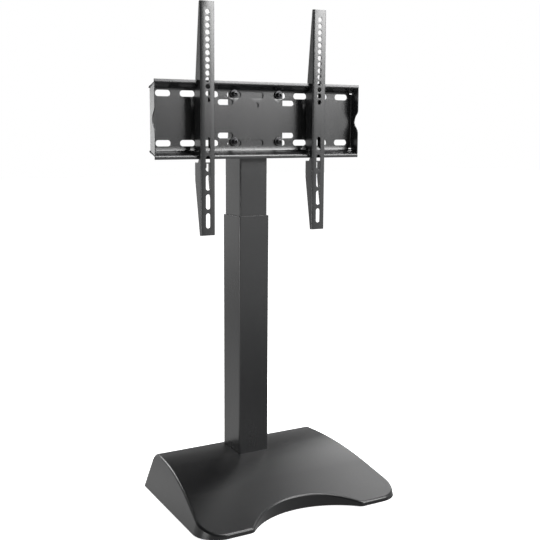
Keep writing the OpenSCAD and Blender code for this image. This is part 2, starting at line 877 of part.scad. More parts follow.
base_cover();
base_plate();
rubber_feet();
cover_screws();
column_flange();
flange_bolts();
outer_tube();
glide_collar();
motor_bracket();
drive_motor();
gearbox();
thrust_bearing();
control_box();
control_box_screws();
power_inlet();
motor_cable();
output_shaft();
shaft_coupling();
lead_screw();
inner_tube();
lower_glides();
nut_carrier();
drive_nut();
tube_end_plate();
head_bracket();
head_screws();
mount_plate();
plate_screws();
plate_washers();
plate_nuts();
arm_left();
arm_right();
lock_screw_left();
lock_screw_right();
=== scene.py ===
import json
import math

import bmesh
import bpy
from mathutils import Matrix, Quaternion, Vector


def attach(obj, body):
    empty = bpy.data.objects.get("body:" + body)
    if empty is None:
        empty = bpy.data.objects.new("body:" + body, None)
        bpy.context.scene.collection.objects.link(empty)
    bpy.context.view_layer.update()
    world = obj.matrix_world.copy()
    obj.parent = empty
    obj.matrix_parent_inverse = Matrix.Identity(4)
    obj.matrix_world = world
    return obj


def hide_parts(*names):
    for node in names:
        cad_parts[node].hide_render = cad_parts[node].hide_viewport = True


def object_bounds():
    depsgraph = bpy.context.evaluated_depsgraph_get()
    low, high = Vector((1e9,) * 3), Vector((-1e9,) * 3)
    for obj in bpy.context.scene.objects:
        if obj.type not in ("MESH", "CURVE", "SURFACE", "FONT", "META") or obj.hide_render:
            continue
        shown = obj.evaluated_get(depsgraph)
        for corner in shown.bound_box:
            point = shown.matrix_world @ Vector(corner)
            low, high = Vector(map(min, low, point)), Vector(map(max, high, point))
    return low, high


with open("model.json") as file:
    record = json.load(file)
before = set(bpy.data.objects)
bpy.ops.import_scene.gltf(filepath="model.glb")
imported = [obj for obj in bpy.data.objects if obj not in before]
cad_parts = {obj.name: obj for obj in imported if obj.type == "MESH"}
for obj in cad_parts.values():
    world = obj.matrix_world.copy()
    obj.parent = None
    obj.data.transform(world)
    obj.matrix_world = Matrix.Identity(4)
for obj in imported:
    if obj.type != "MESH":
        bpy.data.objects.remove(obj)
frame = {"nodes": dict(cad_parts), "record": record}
cad_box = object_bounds()

MM = 0.001

# Places and sizes that several pieces share, in millimetres. Y runs to the back and Z up from the floor.
COLUMN_Y = 89
WEB_Y = 46.6
SHEET = 2
CUT_EDGE = 0.3
PLATE_Z = 771.4
ROWS_Z = PLATE_Z + 2.6
SLOT_PITCH = 51.7
HARDWARE_Z = 776.2
HARDWARE_ROW = 46.9

# How finely rings are made and how closely meshes are merged
ROUND = 48
HOLE_POINTS = 32
SAME_PLACE = 1e-6
AT_MM = 0.01
FRONT = Vector((0, -1, 0))


# ---------------------------------------------------------------- joining shader nodes


def feed(tree, socket, value):
    """Sets a socket to a number or a colour, or links another socket to it."""
    if isinstance(value, (int, float)):
        socket.default_value = value
    elif isinstance(value, tuple):
        socket.default_value = (*value, 1)
    else:
        tree.links.new(value, socket)


def calculate(tree, operation, a, b, clamp=False):
    """The result of a calculation with two numbers or sockets."""
    node = tree.nodes.new("ShaderNodeMath")
    node.operation = operation
    node.use_clamp = clamp
    feed(tree, node.inputs[0], a)
    feed(tree, node.inputs[1], b)
    return node.outputs[0]


def spread(tree, value, low, high, to_low=0, to_high=1, smooth=False):
    """Maps low..high to to_low..to_high and holds the ends beyond."""
    node = tree.nodes.new("ShaderNodeMapRange")
    if smooth:
        node.interpolation_type = "SMOOTHSTEP"
    for title, bound in {"From Min": low, "From Max": high, "To Min": to_low, "To Max": to_high}.items():
        node.inputs[title].default_value = bound
    tree.links.new(value, node.inputs["Value"])
    return node.outputs["Result"]


def noise(tree, scale, detail=3, roughness=0.55, stretch=(1, 1, 1)):
    """Soft random patches that keep their place on the object."""
    coords = tree.nodes.new("ShaderNodeTexCoord")
    place = tree.nodes.new("ShaderNodeMapping")
    place.inputs["Scale"].default_value = stretch
    tree.links.new(coords.outputs["Object"], place.inputs["Vector"])
    node = tree.nodes.new("ShaderNodeTexNoise")
    node.inputs["Detail"].default_value = detail
    node.inputs["Roughness"].default_value = roughness
    feed(tree, node.inputs["Scale"], scale)
    tree.links.new(place.outputs["Vector"], node.inputs["Vector"])
    return node.outputs["Fac"]


def blended(tree, share, a, b):
    """Colour a where share is 0 and colour b where it is 1."""
    colour_a, colour_b, colour_out = 6, 7, 2
    node = tree.nodes.new("ShaderNodeMix")
    node.data_type = "RGBA"
    tree.links.new(share, node.inputs["Factor"])
    feed(tree, node.inputs[colour_a], a)
    feed(tree, node.inputs[colour_b], b)
    return node.outputs[colour_out]


# ---------------------------------------------------------------- camera, floor and light


def set_camera():
    """The photograph's viewpoint, fitted to its edges: place, direction and lens."""
    place = Vector((-0.9938, -1.6524, 0.7577))
    turn, tip, roll = 0.5438343, 0.1468237, -0.0054058
    lens_pixels, picture_pixels, sensor = 964.17, 540, 36
    look = Vector((math.sin(turn) * math.cos(tip), math.cos(turn) * math.cos(tip), -math.sin(tip)))
    level = Vector((math.cos(turn), -math.sin(turn), 0))
    down = look.cross(level)
    across = math.cos(roll) * level + math.sin(roll) * down
    up = math.sin(roll) * level - math.cos(roll) * down
    data = bpy.data.cameras.new("camera")
    data.sensor_width = sensor
    data.lens = lens_pixels / picture_pixels * sensor
    camera = bpy.data.objects.new("camera", data)
    camera.matrix_world = Matrix.Translation(place) @ Matrix((across, up, -look)).transposed().to_4x4()
    bpy.context.scene.collection.objects.link(camera)
    bpy.context.scene.camera = camera


def seen_directly(tree, reflected):
    """1 for camera and transmission rays, and reflected for glossy rays."""
    path = tree.nodes.new("ShaderNodeLightPath")
    straight = calculate(tree, "MAXIMUM", path.outputs["Is Camera Ray"], path.outputs["Is Transmission Ray"])
    mirrored = calculate(tree, "MULTIPLY", path.outputs["Is Glossy Ray"], reflected)
    return calculate(tree, "MAXIMUM", straight, mirrored)


def light_world(fill):
    """A room that is white where it is seen, and in mirrors dark above and dim in front and on the left."""
    world = bpy.data.worlds.new("studio")
    world.use_nodes = True
    tree = world.node_tree
    background = tree.nodes["Background"]
    background.inputs["Color"].default_value = (1, 1, 1, 1)
    coords = tree.nodes.new("ShaderNodeTexCoord")
    towards = tree.nodes.new("ShaderNodeSeparateXYZ")
    tree.links.new(coords.outputs["Generated"], towards.inputs[0])
    x, y, z = (towards.outputs[axis] for axis in "XYZ")
    ceiling = spread(tree, z, low=0.05, high=0.5, to_low=1.15, to_high=0.03, smooth=True)
    to_right = spread(tree, x, low=0.36, high=0.6, to_low=0.2, to_high=1.6)
    to_back = spread(tree, y, low=-0.3, high=0)
    back_left = spread(tree, x, low=-0.55, high=-0.25, to_low=0.5, to_high=1)
    behind = calculate(tree, "MULTIPLY", to_back, back_left)
    walls = calculate(tree, "MULTIPLY", ceiling, calculate(tree, "MAXIMUM", to_right, behind))
    path = tree.nodes.new("ShaderNodeLightPath")
    lighting = calculate(tree, "MULTIPLY", path.outputs["Is Diffuse Ray"], fill)
    strength = calculate(tree, "ADD", seen_directly(tree, walls), lighting)
    tree.links.new(strength, background.inputs["Strength"])
    bpy.context.scene.world = world


def painted_shade_pool(tree, middle, near, far, least):
    """Painted shade in the floor's glow as reflections show it: least near a point of the floor, rising to 1
    farther from it.
    """
    coords = tree.nodes.new("ShaderNodeTexCoord")
    away = tree.nodes.new("ShaderNodeVectorMath")
    away.operation = "DISTANCE"
    away.inputs[1].default_value = middle
    tree.links.new(coords.outputs["Object"], away.inputs[0])
    return spread(tree, away.outputs["Value"], near, far, least, 1)


# Painted shade: pools of the floor, in metres, where its glow is painted dim in what mirrors them
PAINTED_SHADE_POOLS = (
    dict(middle=(0.6, -0.8, 0), near=0.45, far=1.5, least=0.12),
    dict(middle=(0.9, 1.15, 0), near=0.6, far=1.5, least=0.02),
    dict(middle=(-1.1, 2, 0), near=0.6, far=1.9, least=0.5),
)


def lay_floor(half_size):
    """A pale floor that shows white where nothing shades it. In reflections its colour is painted nearly
    black, and its glow is painted with pools of shade.
    """
    # The mirrored paleness and mirrored glow are painted: the floor looks darker in reflections than it is,
    # with painted shade in pools
    paleness, mirrored_painted_paleness, glow, mirrored_painted_glow = 0.8, 0.04, 0.9, 1.35
    bm = bmesh.new()
    bmesh.ops.create_grid(bm, x_segments=1, y_segments=1, size=half_size)
    mesh = bpy.data.meshes.new("floor")
    bm.to_mesh(mesh)
    bm.free()
    floor = bpy.data.objects.new("floor", mesh)
    bpy.context.scene.collection.objects.link(floor)
    material = bpy.data.materials.new("pale floor")
    material.use_nodes = True
    tree = material.node_tree
    shader = tree.nodes["Principled BSDF"]
    path = tree.nodes.new("ShaderNodeLightPath")
    pale = spread(tree, path.outputs["Is Glossy Ray"], 0, 1, paleness, mirrored_painted_paleness)
    tree.links.new(pale, shader.inputs["Base Color"])
    shader.inputs["Roughness"].default_value = 0.9
    shader.inputs["Specular IOR Level"].default_value = 0.1
    shader.inputs["Emission Color"].default_value = (1, 1, 1, 1)
    # The floor's glow in reflections, with painted shade pools multiplied in
    reflected = mirrored_painted_glow
    for pool in PAINTED_SHADE_POOLS:
        reflected = calculate(tree, "MULTIPLY", painted_shade_pool(tree, **pool), reflected)
    strength = calculate(tree, "MULTIPLY", seen_directly(tree, reflected), glow)
    tree.links.new(strength, shader.inputs["Emission Strength"])
    mesh.materials.append(material)


def hang_lamp(name, turn, rise, distance, width, height, power, roll=0):
    """A soft lamp aimed at the object, turned from the front towards +X and raised, in degrees."""
    aim = Vector((0, 0, 0.55))
    data = bpy.data.lights.new(name, "AREA")
    data.shape = "RECTANGLE"
    data.size, data.size_y = width, height
    data.energy = power
    lamp = bpy.data.objects.new(name, data)
    a, e = math.radians(turn), math.radians(rise)
    back = Vector((math.sin(a) * math.cos(e), -math.cos(a) * math.cos(e), math.sin(e)))
    lamp.location = aim + back * distance
    lamp.rotation_mode = "QUATERNION"
    lamp.rotation_quaternion = (-back).to_track_quat("-Z", "Y") @ Quaternion((0, 0, 1), math.radians(roll))
    lamp.visible_camera = False
    bpy.context.scene.collection.objects.link(lamp)


# ---------------------------------------------------------------- effects that finishes share

FLOAT, COLOUR = "NodeSocketFloat", "NodeSocketColor"


def new_effect(name, sockets_in, sockets_out):
    """An empty node group with named sockets: (name, type, default) in and (name, type) out."""
    group = bpy.data.node_groups.new(name, "ShaderNodeTree")
    for title, kind, value in sockets_in:
        socket = group.interface.new_socket(name=title, in_out="INPUT", socket_type=kind)
        if value is not None:
            socket.default_value = value
    for title, kind in sockets_out:
        group.interface.new_socket(name=title, in_out="OUTPUT", socket_type=kind)
    return group, group.nodes.new("NodeGroupInput"), group.nodes.new("NodeGroupOutput")


def make_edge_wear():
    """Rubbed edges: a mask along sharp edges, broken up into patches, and the colour with it."""
    group, into, out = new_effect(
        "Edge wear",
        [("Colour", COLOUR, None), ("Rubbed colour", COLOUR, None), ("Width", FLOAT, 0.001),
         ("Amount", FLOAT, 0.5), ("Patch size", FLOAT, 60)],
        [("Colour", COLOUR), ("Mask", FLOAT)],
    )
    bevel = group.nodes.new("ShaderNodeBevel")
    bevel.samples = 4
    group.links.new(into.outputs["Width"], bevel.inputs["Radius"])
    surface = group.nodes.new("ShaderNodeNewGeometry")
    alike = group.nodes.new("ShaderNodeVectorMath")
    alike.operation = "DOT_PRODUCT"
    group.links.new(bevel.outputs["Normal"], alike.inputs[0])
    group.links.new(surface.outputs["Normal"], alike.inputs[1])
    turned_away = calculate(group, "SUBTRACT", 1, alike.outputs["Value"])
    edge = spread(group, turned_away, low=0.01, high=0.16)
    broken = noise(group, into.outputs["Patch size"], detail=4)
    patches = spread(group, broken, low=0.38, high=0.62, to_low=0.25, to_high=1)
    rubbed = calculate(group, "MULTIPLY", edge, patches)
    mask = calculate(group, "MULTIPLY", rubbed, into.outputs["Amount"], clamp=True)
    colour = blended(group, mask, into.outputs["Colour"], into.outputs["Rubbed colour"])
    group.links.new(colour, out.inputs["Colour"])
    group.links.new(mask, out.inputs["Mask"])
    return group


def make_orange_peel():
    """The fine ripple of a sprayed or powdered coat."""
    group, into, out = new_effect(
        "Orange peel",
        [("Ripple size", FLOAT, 700), ("Speck size", FLOAT, 2600)],
        [("Height", FLOAT), ("Mottle", FLOAT)],
    )
    ripple_share, speck_share = 0.7, 0.3
    ripple = noise(group, into.outputs["Ripple size"], detail=2, roughness=0.5)
    speck = noise(group, into.outputs["Speck size"], detail=3, roughness=0.6)
    height = calculate(group, "ADD", calculate(group, "MULTIPLY", ripple, ripple_share),
                       calculate(group, "MULTIPLY", speck, speck_share))
    group.links.new(height, out.inputs["Height"])
    group.links.new(noise(group, scale=14, detail=4), out.inputs["Mottle"])
    return group


def make_moulded_grain():
    """The spark-eroded grain of a moulding tool."""
    group, into, out = new_effect("Moulded grain", [("Grain size", FLOAT, 1300)], [("Height", FLOAT)])
    finer, fine_share = 1.7, 0.6
    coords = group.nodes.new("ShaderNodeTexCoord")
    cells = group.nodes.new("ShaderNodeTexVoronoi")
    cells.feature = "SMOOTH_F1"
    group.links.new(coords.outputs["Object"], cells.inputs["Vector"])
    group.links.new(into.outputs["Grain size"], cells.inputs["Scale"])
    fine_scale = calculate(group, "MULTIPLY", into.outputs["Grain size"], finer)
    fine = noise(group, fine_scale, detail=3, roughness=0.6)
    fine = calculate(group, "MULTIPLY", fine, fine_share)
    height = calculate(group, "ADD", cells.outputs["Distance"], fine)
    group.links.new(height, out.inputs["Height"])
    return group


def make_handling():
    """Roughness that changes where the surface has been wiped and touched."""
    group, into, out = new_effect(
        "Handling marks",
        [("Roughness", FLOAT, 0.4), ("Change", FLOAT, 0.06), ("Mark size", FLOAT, 7)],
        [("Roughness", FLOAT)],
    )
    upright = (1, 1, 0.22)
    broad = noise(group, into.outputs["Mark size"], detail=5, roughness=0.6)
    wiped = noise(group, scale=26, detail=4, roughness=0.6, stretch=upright)
    both = calculate(group, "MULTIPLY", calculate(group, "ADD", broad, wiped), 0.5)
    marks = spread(group, both, low=0.35, high=0.65, to_low=-1, to_high=1)
    offset = calculate(group, "MULTIPLY", marks, into.outputs["Change"])
    touched = calculate(group, "ADD", into.outputs["Roughness"], offset, clamp=True)
    group.links.new(touched, out.inputs["Roughness"])
    return group


def make_dust():
    """Fine dust on what faces up."""
    group, into, out = new_effect(
        "Dust",
        [("Colour", COLOUR, None), ("Dust colour", COLOUR, None), ("Amount", FLOAT, 0.1)],
        [("Colour", COLOUR), ("Mask", FLOAT)],
    )
    surface = group.nodes.new("ShaderNodeNewGeometry")
    split = group.nodes.new("ShaderNodeSeparateXYZ")
    group.links.new(surface.outputs["Normal"], split.inputs[0])
    up = spread(group, split.outputs["Z"], low=0.5, high=1)
    grains = spread(group, noise(group, scale=210, detail=6, roughness=0.7), low=0.42, high=0.66)
    drift = spread(group, noise(group, scale=11), low=0.35, high=0.65, to_low=0.35, to_high=1)
    settled = calculate(group, "MULTIPLY", calculate(group, "MULTIPLY", up, grains), drift)
    mask = calculate(group, "MULTIPLY", settled, into.outputs["Amount"], clamp=True)
    colour = blended(group, mask, into.outputs["Colour"], into.outputs["Dust colour"])
    group.links.new(colour, out.inputs["Colour"])
    group.links.new(mask, out.inputs["Mask"])
    return group


EDGE_WEAR = make_edge_wear()
ORANGE_PEEL = make_orange_peel()
MOULDED_GRAIN = make_moulded_grain()
HANDLING = make_handling()
DUST = make_dust()


# ---------------------------------------------------------------- finishes


def new_finish(name, roughness, specular, metallic=0):
    """A material with the constants of its shader set."""
    material = bpy.data.materials.new(name)
    material.use_nodes = True
    shader = material.node_tree.nodes["Principled BSDF"]
    shader.inputs["Specular IOR Level"].default_value = specular
    shader.inputs["Roughness"].default_value = roughness
    shader.inputs["Metallic"].default_value = metallic
    return material, material.node_tree, shader


def use_effect(tree, group, **values):
    """Places an effect with its own values. Underscores in the names stand for spaces."""
    node = tree.nodes.new("ShaderNodeGroup")
    node.node_tree = group
    for title, value in values.items():
        feed(tree, node.inputs[title.replace("_", " ")], value)
    return node.outputs


def raise_surface(tree, shader, height, distance):
    """Lets the light show height as relief, distance metres deep."""
    bump = tree.nodes.new("ShaderNodeBump")
    bump.inputs["Strength"].default_value = 1
    bump.inputs["Distance"].default_value = distance
    tree.links.new(height, bump.inputs["Height"])
    tree.links.new(bump.outputs["Normal"], shader.inputs["Normal"])


def varied(tree, patches, colour, by):
    """The colour, darker and lighter by a share in patches."""
    return blended(tree, patches, tuple(c * (1 - by) for c in colour), tuple(c * (1 + by) for c in colour))


def weather(tree, shader, tint, rubbed, roughness, wear, dust, edge, patch, change, mark):
    """Gives the shader its tint with rubbed edges, a trace of dust and wiped patches."""
    dust_colour, dust_dulls = (0.32, 0.31, 0.29), 0.4
    worn = use_effect(tree, EDGE_WEAR, Colour=tint, Rubbed_colour=rubbed, Width=edge, Amount=wear,
                      Patch_size=patch)
    dusty = use_effect(tree, DUST, Colour=worn["Colour"], Dust_colour=dust_colour, Amount=dust)
    touched = use_effect(tree, HANDLING, Roughness=roughness, Change=change, Mark_size=mark)
    duller = calculate(tree, "MULTIPLY", dusty["Mask"], dust_dulls)
    rough = calculate(tree, "ADD", touched["Roughness"], duller, clamp=True)
    tree.links.new(dusty["Colour"], shader.inputs["Base Color"])
    tree.links.new(rough, shader.inputs["Roughness"])


def coated(name, colour, rubbed, roughness, specular, wear, ripple, dust=0, depth=0.00003):
    """A sprayed or powdered coat with its orange peel."""
    material, tree, shader = new_finish(name, roughness, specular)
    specks_finer = 3.6
    peel = use_effect(tree, ORANGE_PEEL, Ripple_size=ripple, Speck_size=ripple * specks_finer)
    tint = varied(tree, peel["Mottle"], colour, by=0.12)
    weather(tree, shader, tint, rubbed, roughness, wear, dust, edge=0.0008, patch=70, change=0.022, mark=8)
    raise_surface(tree, shader, peel["Height"], depth)
    return material


def moulded(name, colour, rubbed, roughness, specular, wear, grain, dust=0, depth=0.00004):
    """Moulded plastic or rubber with the grain of its tool."""
    material, tree, shader = new_finish(name, roughness, specular)
    height = use_effect(tree, MOULDED_GRAIN, Grain_size=grain)["Height"]
    tint = varied(tree, noise(tree, scale=9, detail=4), colour, by=0.1)
    weather(tree, shader, tint, rubbed, roughness, wear, dust, edge=0.0012, patch=45, change=0.015, mark=6)
    raise_surface(tree, shader, height, depth)
    return material


def bare_metal(name, colour, dull, roughness, grain, stretch=(1, 1, 1), wear=0.5):
    """Plated or ground steel and brass: drawn grain, dull patches and brighter edges."""
    brighter, depth = 1.25, 0.00002
    material, tree, shader = new_finish(name, roughness, specular=0.5, metallic=1)
    drawn = noise(tree, grain, detail=3, roughness=0.6, stretch=stretch)
    patches = spread(tree, noise(tree, scale=55, detail=5, roughness=0.65), low=0.35, high=0.65)
    rubbed = tuple(min(1, c * brighter) for c in colour)
    worn = use_effect(tree, EDGE_WEAR, Colour=blended(tree, patches, dull, colour), Rubbed_colour=rubbed,
                      Width=0.0006, Amount=wear, Patch_size=120)
    touched = use_effect(tree, HANDLING, Roughness=roughness, Change=0.08, Mark_size=40)
    tree.links.new(worn["Colour"], shader.inputs["Base Color"])
    tree.links.new(touched["Roughness"], shader.inputs["Roughness"])
    raise_surface(tree, shader, drawn, depth)
    return material


# Noise squeezed along Z, as tools that run round an upright part leave it
GROUND_MARKS = (1, 1, 14)
TURNED_MARKS = (1, 1, 12)

FINISHES = {
    "cover_plastic": moulded("Satin black moulded plastic", colour=(0.004, 0.0041, 0.0044),
                             rubbed=(0.05, 0.051, 0.053), roughness=0.3, specular=0.34, wear=0.5, grain=1300,
                             dust=0.006),
    "black_steel": coated("Satin black powder coat", colour=(0.008, 0.0082, 0.0086),
                          rubbed=(0.03, 0.031, 0.032), roughness=0.26, specular=0.46, wear=0.4, ripple=700,
                          dust=0.006, depth=0.000012),
    "base_steel": coated("Dark primer on steel", colour=(0.05, 0.052, 0.055), rubbed=(0.2, 0.19, 0.18),
                         roughness=0.55, specular=0.4, wear=0.6, ripple=420),
    "foot_rubber": moulded("Black rubber", colour=(0.016, 0.016, 0.016), rubbed=(0.05, 0.05, 0.05),
                           roughness=0.78, specular=0.3, wear=0.4, grain=900, depth=0.00006),
    "glide_plastic": moulded("Black glide plastic", colour=(0.012, 0.012, 0.013), rubbed=(0.05, 0.05, 0.05),
                             roughness=0.32, specular=0.45, wear=0.4, grain=1800, depth=0.00001),
    "zinc_steel": bare_metal("Zinc plated steel", colour=(0.56, 0.57, 0.58), dull=(0.42, 0.43, 0.45),
                             roughness=0.34, grain=900),
    "black_screw": bare_metal("Black oxide steel", colour=(0.045, 0.045, 0.046), dull=(0.02, 0.02, 0.021),
                              roughness=0.3, grain=1600, wear=0.8),
    "bright_steel": bare_metal("Ground steel", colour=(0.62, 0.63, 0.64), dull=(0.5, 0.51, 0.52),
                               roughness=0.24, grain=700, stretch=GROUND_MARKS),
    "motor_case": coated("Grey motor enamel", colour=(0.17, 0.18, 0.19), rubbed=(0.42, 0.42, 0.42),
                         roughness=0.42, specular=0.5, wear=0.6, ripple=520),
    "nut_brass": bare_metal("Machined brass", colour=(0.69, 0.53, 0.28), dull=(0.55, 0.41, 0.2),
                            roughness=0.3, grain=800, stretch=TURNED_MARKS),
    "box_plastic": moulded("Black box plastic", colour=(0.019, 0.019, 0.02), rubbed=(0.07, 0.07, 0.07),
                           roughness=0.5, specular=0.4, wear=0.5, grain=1500),
}
SLOT_OF = {part["node"]: part["material_slot"] for part in frame["record"]["subparts"]}
BODY_OF = {node: body for body, nodes in frame["record"]["behaviour"]["bodies"].items() for node in nodes}


def dress_nodes():
    """Gives every CAD node its finish."""
    for node, obj in frame["nodes"].items():
        finish = FINISHES[SLOT_OF[node]]
        if obj.material_slots:
            for place in obj.material_slots:
                place.material = finish
        else:
            obj.data.materials.append(finish)


# ---------------------------------------------------------------- ways of making a piece


def copy_of(node):
    """The node's shape as one merged mesh with whole flat faces."""
    flat_within = math.radians(0.2)
    bm = bmesh.new()
    bm.from_mesh(frame["nodes"][node].data)
    bmesh.ops.remove_doubles(bm, verts=bm.verts, dist=2 * SAME_PLACE)
    bmesh.ops.dissolve_limit(bm, angle_limit=flat_within, use_dissolve_boundaries=False,
                             verts=bm.verts, edges=bm.edges, delimit={"NORMAL"})
    return bm


def folds(bm, least, most, wanted):
    """Edges where faces turn by least to most degrees and that wanted(middle, along, edge) picks."""
    found = []
    for edge in bm.edges:
        if len(edge.link_faces) != 2:
            continue
        angle = math.degrees(edge.calc_face_angle(0))
        if least <= angle <= most:
            a, b = (v.co for v in edge.verts)
            if wanted((a + b) / 2 / MM, (b - a).normalized(), edge):
                found.append(edge)
    return found


def round_edges(bm, edges, width, steps=2, clamp=True):
    """Rounds edges over a width in millimetres."""
    if edges:
        bmesh.ops.bevel(bm, geom=edges, offset=width * MM, offset_type="OFFSET", segments=steps, profile=0.5,
                        affect="EDGES", clamp_overlap=clamp, material=-1)


def finish_piece(name, bm, node, smooth_to=30, finish=None):
    """Makes the mesh an object that stands for its node: on its body, with its finish and weighed normals."""
    bmesh.ops.remove_doubles(bm, verts=bm.verts, dist=SAME_PLACE)
    mesh = bpy.data.meshes.new(name)
    bm.to_mesh(mesh)
    bm.free()
    mesh.polygons.foreach_set("use_smooth", [True] * len(mesh.polygons))
    mesh.set_sharp_from_angle(angle=math.radians(smooth_to))
    mesh.materials.append(FINISHES[finish or SLOT_OF[node]])
    piece = bpy.data.objects.new(name, mesh)
    bpy.context.scene.collection.objects.link(piece)
    weigh = piece.modifiers.new("Weighted normals", "WEIGHTED_NORMAL")
    weigh.mode = "FACE_AREA_WITH_ANGLE"
    weigh.keep_sharp = True
    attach(piece, BODY_OF[node])
    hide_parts(node)
    return piece


def ring(bm, height, across, sides=0):
    """A loop of ROUND points at a height: a circle, or a polygon across its corners."""
    before = set(bm.edges)
    bmesh.ops.create_circle(bm, cap_ends=False, segments=sides or ROUND, radius=across * MM)
    edges = [e for e in bm.edges if e not in before]
    if sides:
        bmesh.ops.subdivide_edges(bm, edges=edges, cuts=ROUND // sides - 1)
        edges = [e for e in bm.edges if e not in before]
    bmesh.ops.translate(bm, verts=list({v for e in edges for v in e.verts}), vec=(0, 0, height * MM))
    return edges


def stack(bm, rings, closed=False):
    """Joins rings of height, radius and sides. Closed, the last meets the first, else the ends are filled."""
    made = [ring(bm, *step) for step in rings]
    for a, b in zip(made, made[1:] + made[:1] if closed else made[1:]):
        bmesh.ops.bridge_loops(bm, edges=a + b)
    if not closed:
        for end in (made[0], made[-1]):
            bmesh.ops.edgeloop_fill(bm, edges=end)


def repeated(build, places, turn):
    """One mesh with what build makes at each place in millimetres, its +Z turned by turn."""
    whole = bmesh.new()
    for place in places:
        bm = bmesh.new()
        build(bm)
        bmesh.ops.recalc_face_normals(bm, faces=bm.faces)
        bm.transform(Matrix.Translation(Vector(place) * MM) @ turn)
        mesh = bpy.data.meshes.new("part")
        bm.to_mesh(mesh)
        bm.free()
        whole.from_mesh(mesh)
        bpy.data.meshes.remove(mesh)
    return whole


FACING_FRONT = Matrix.Rotation(math.radians(90), 4, "X")
FACING_UP = Matrix.Identity(4)


# ---------------------------------------------------------------- base


def inside_cover(middle):
    """True for the edges of the bosses and the opening for the inlet."""
    top, front, half = 13.5, -150, 200
    return middle.z < top and middle.y > front and abs(middle.x) < half


def near_column(middle):
    """True for the opening that the column stands in."""
    reach = 40
    return abs(middle.x) < reach and abs(middle.y - COLUMN_Y) < reach


def make_cover():
    """The moulded shell, with its top edges rolled over."""
    roll, roll_steps, shortest, lower_rim = 4, 6, 2.2, 3.5
    least, most = 24, 179

    def rolled(middle, along, edge):
        outside = middle.z > lower_rim and not inside_cover(middle) and not near_column(middle)
        return edge.is_convex and outside

    bm = copy_of("base_cover")
    top_verts = {v for e in folds(bm, least, most, rolled) for v in e.verts}
    bmesh.ops.remove_doubles(bm, verts=list(top_verts), dist=shortest * MM)
    round_edges(bm, folds(bm, least, most, rolled), roll, roll_steps, clamp=False)
    front = cad_box[0][1]
    for v in bm.verts:
        v.co.y = max(v.co.y, front)
    finish_piece("cover_shell", bm, "base_cover", smooth_to=28)


# The feet's places, and one foot's rings: height, radius and sides, in millimetres
FEET = ((172.6, 132), (172.6, 8.25), (148, -122.1))
FOOT_RINGS = ((0, 14.6, 0), (0.4, 15.5, 0), (1, 16, 0), (3, 16, 0))


def make_feet():
    """Round rubber pads, in pairs on the left and right."""
    places = [(s * x, y, 0) for x, y in FEET for s in (-1, 1)]
    feet = repeated(lambda bm: stack(bm, FOOT_RINGS), places, FACING_UP)
    finish_piece("rubber_feet_turned", feet, "rubber_feet", smooth_to=32)


# ---------------------------------------------------------------- column


def make_tube(node, name):
    """A tube with the edges of its sawn ends broken."""
    bm = copy_of(node)
    least, most, upright, saw_edge = 60, 120, 0.9, 0.35
    ends = folds(bm, least, most, lambda middle, along, edge: abs(along.z) < upright)
    round_edges(bm, ends, saw_edge)
    finish_piece(name, bm, node, smooth_to=40)


# ---------------------------------------------------------------- sheet parts


def slot_edge(bm, x, z, length, height, along_x=True):
    """The closed edge of a slot or, where length is height, of a round hole, in the X and Z directions."""
    made = bmesh.ops.create_circle(bm, cap_ends=False, segments=HOLE_POINTS, radius=height / 2 * MM)
    half = (length - height) / 2 * MM
    bmesh.ops.rotate(bm, verts=made["verts"], matrix=Matrix.Rotation(math.pi / HOLE_POINTS, 3, "Z"))
    for v in made["verts"]:
        v.co.x += math.copysign(half, v.co.x)
    place = Matrix.Translation(Vector((x, 0, z)) * MM) @ Matrix.Rotation(math.pi / 2, 4, "X")
    if not along_x:
        place = place @ Matrix.Rotation(math.pi / 2, 4, "Z")
    bmesh.ops.transform(bm, matrix=place, verts=made["verts"])


def outline_edge(bm, points):
    """A closed edge through points in millimetres."""
    verts = [bm.verts.new(Vector(p) * MM) for p in points]
    for pair in zip(verts, verts[1:] + verts[:1]):
        bm.edges.new(pair)


def fill_sheet(bm):
    """Fills the drawn outline and leaves its holes open."""
    wires = [e for e in bm.edges if e.is_wire]
    bmesh.ops.triangle_fill(bm, use_beauty=True, use_dissolve=False, edges=wires)


def rim_at(bm, axis, place):
    """The sheet's open edges that lie at a place along an axis, in millimetres."""
    return [e for e in bm.edges
            if e.is_boundary and all(abs(getattr(v.co, axis) / MM - place) < AT_MM for v in e.verts)]


def fold_over(bm, edges, centre, axis, angle, steps=6):
    """Bends the sheet on round centre from these edges. Gives the edges where the bend ends."""
    verts = list({v for e in edges for v in e.verts})
    made = bmesh.ops.spin(bm, geom=edges + verts, cent=Vector(centre) * MM, axis=axis,
                          angle=math.radians(angle), steps=steps, use_merge=False, use_normal_flip=False,
                          use_duplicate=False)
    return [g for g in made["geom_last"] if isinstance(g, bmesh.types.BMEdge)]


def draw_out(bm, edges, by):
    """Draws the sheet out from these edges, by a way in millimetres."""
    made = bmesh.ops.extrude_edge_only(bm, edges=edges)["geom"]
    verts = [g for g in made if isinstance(g, bmesh.types.BMVert)]
    bmesh.ops.translate(bm, verts=verts, vec=Vector(by) * MM)


def add_flap(bm, edge, points, x, radii=()):
    """A flat flap from edge, its outline through points in depth and height, rounded by radii in turn."""
    a, b = sorted(edge.verts, key=lambda v: v.co.z)
    verts = [bm.verts.new(Vector((x, y, z)) * MM) for y, z in points]
    bm.faces.new([a, *verts, b])
    for vert, radius in zip(verts, radii):
        bmesh.ops.bevel(bm, geom=[vert], offset=radius * MM, offset_type="OFFSET", segments=4, profile=0.5,
                        affect="VERTICES", clamp_overlap=True, material=-1)


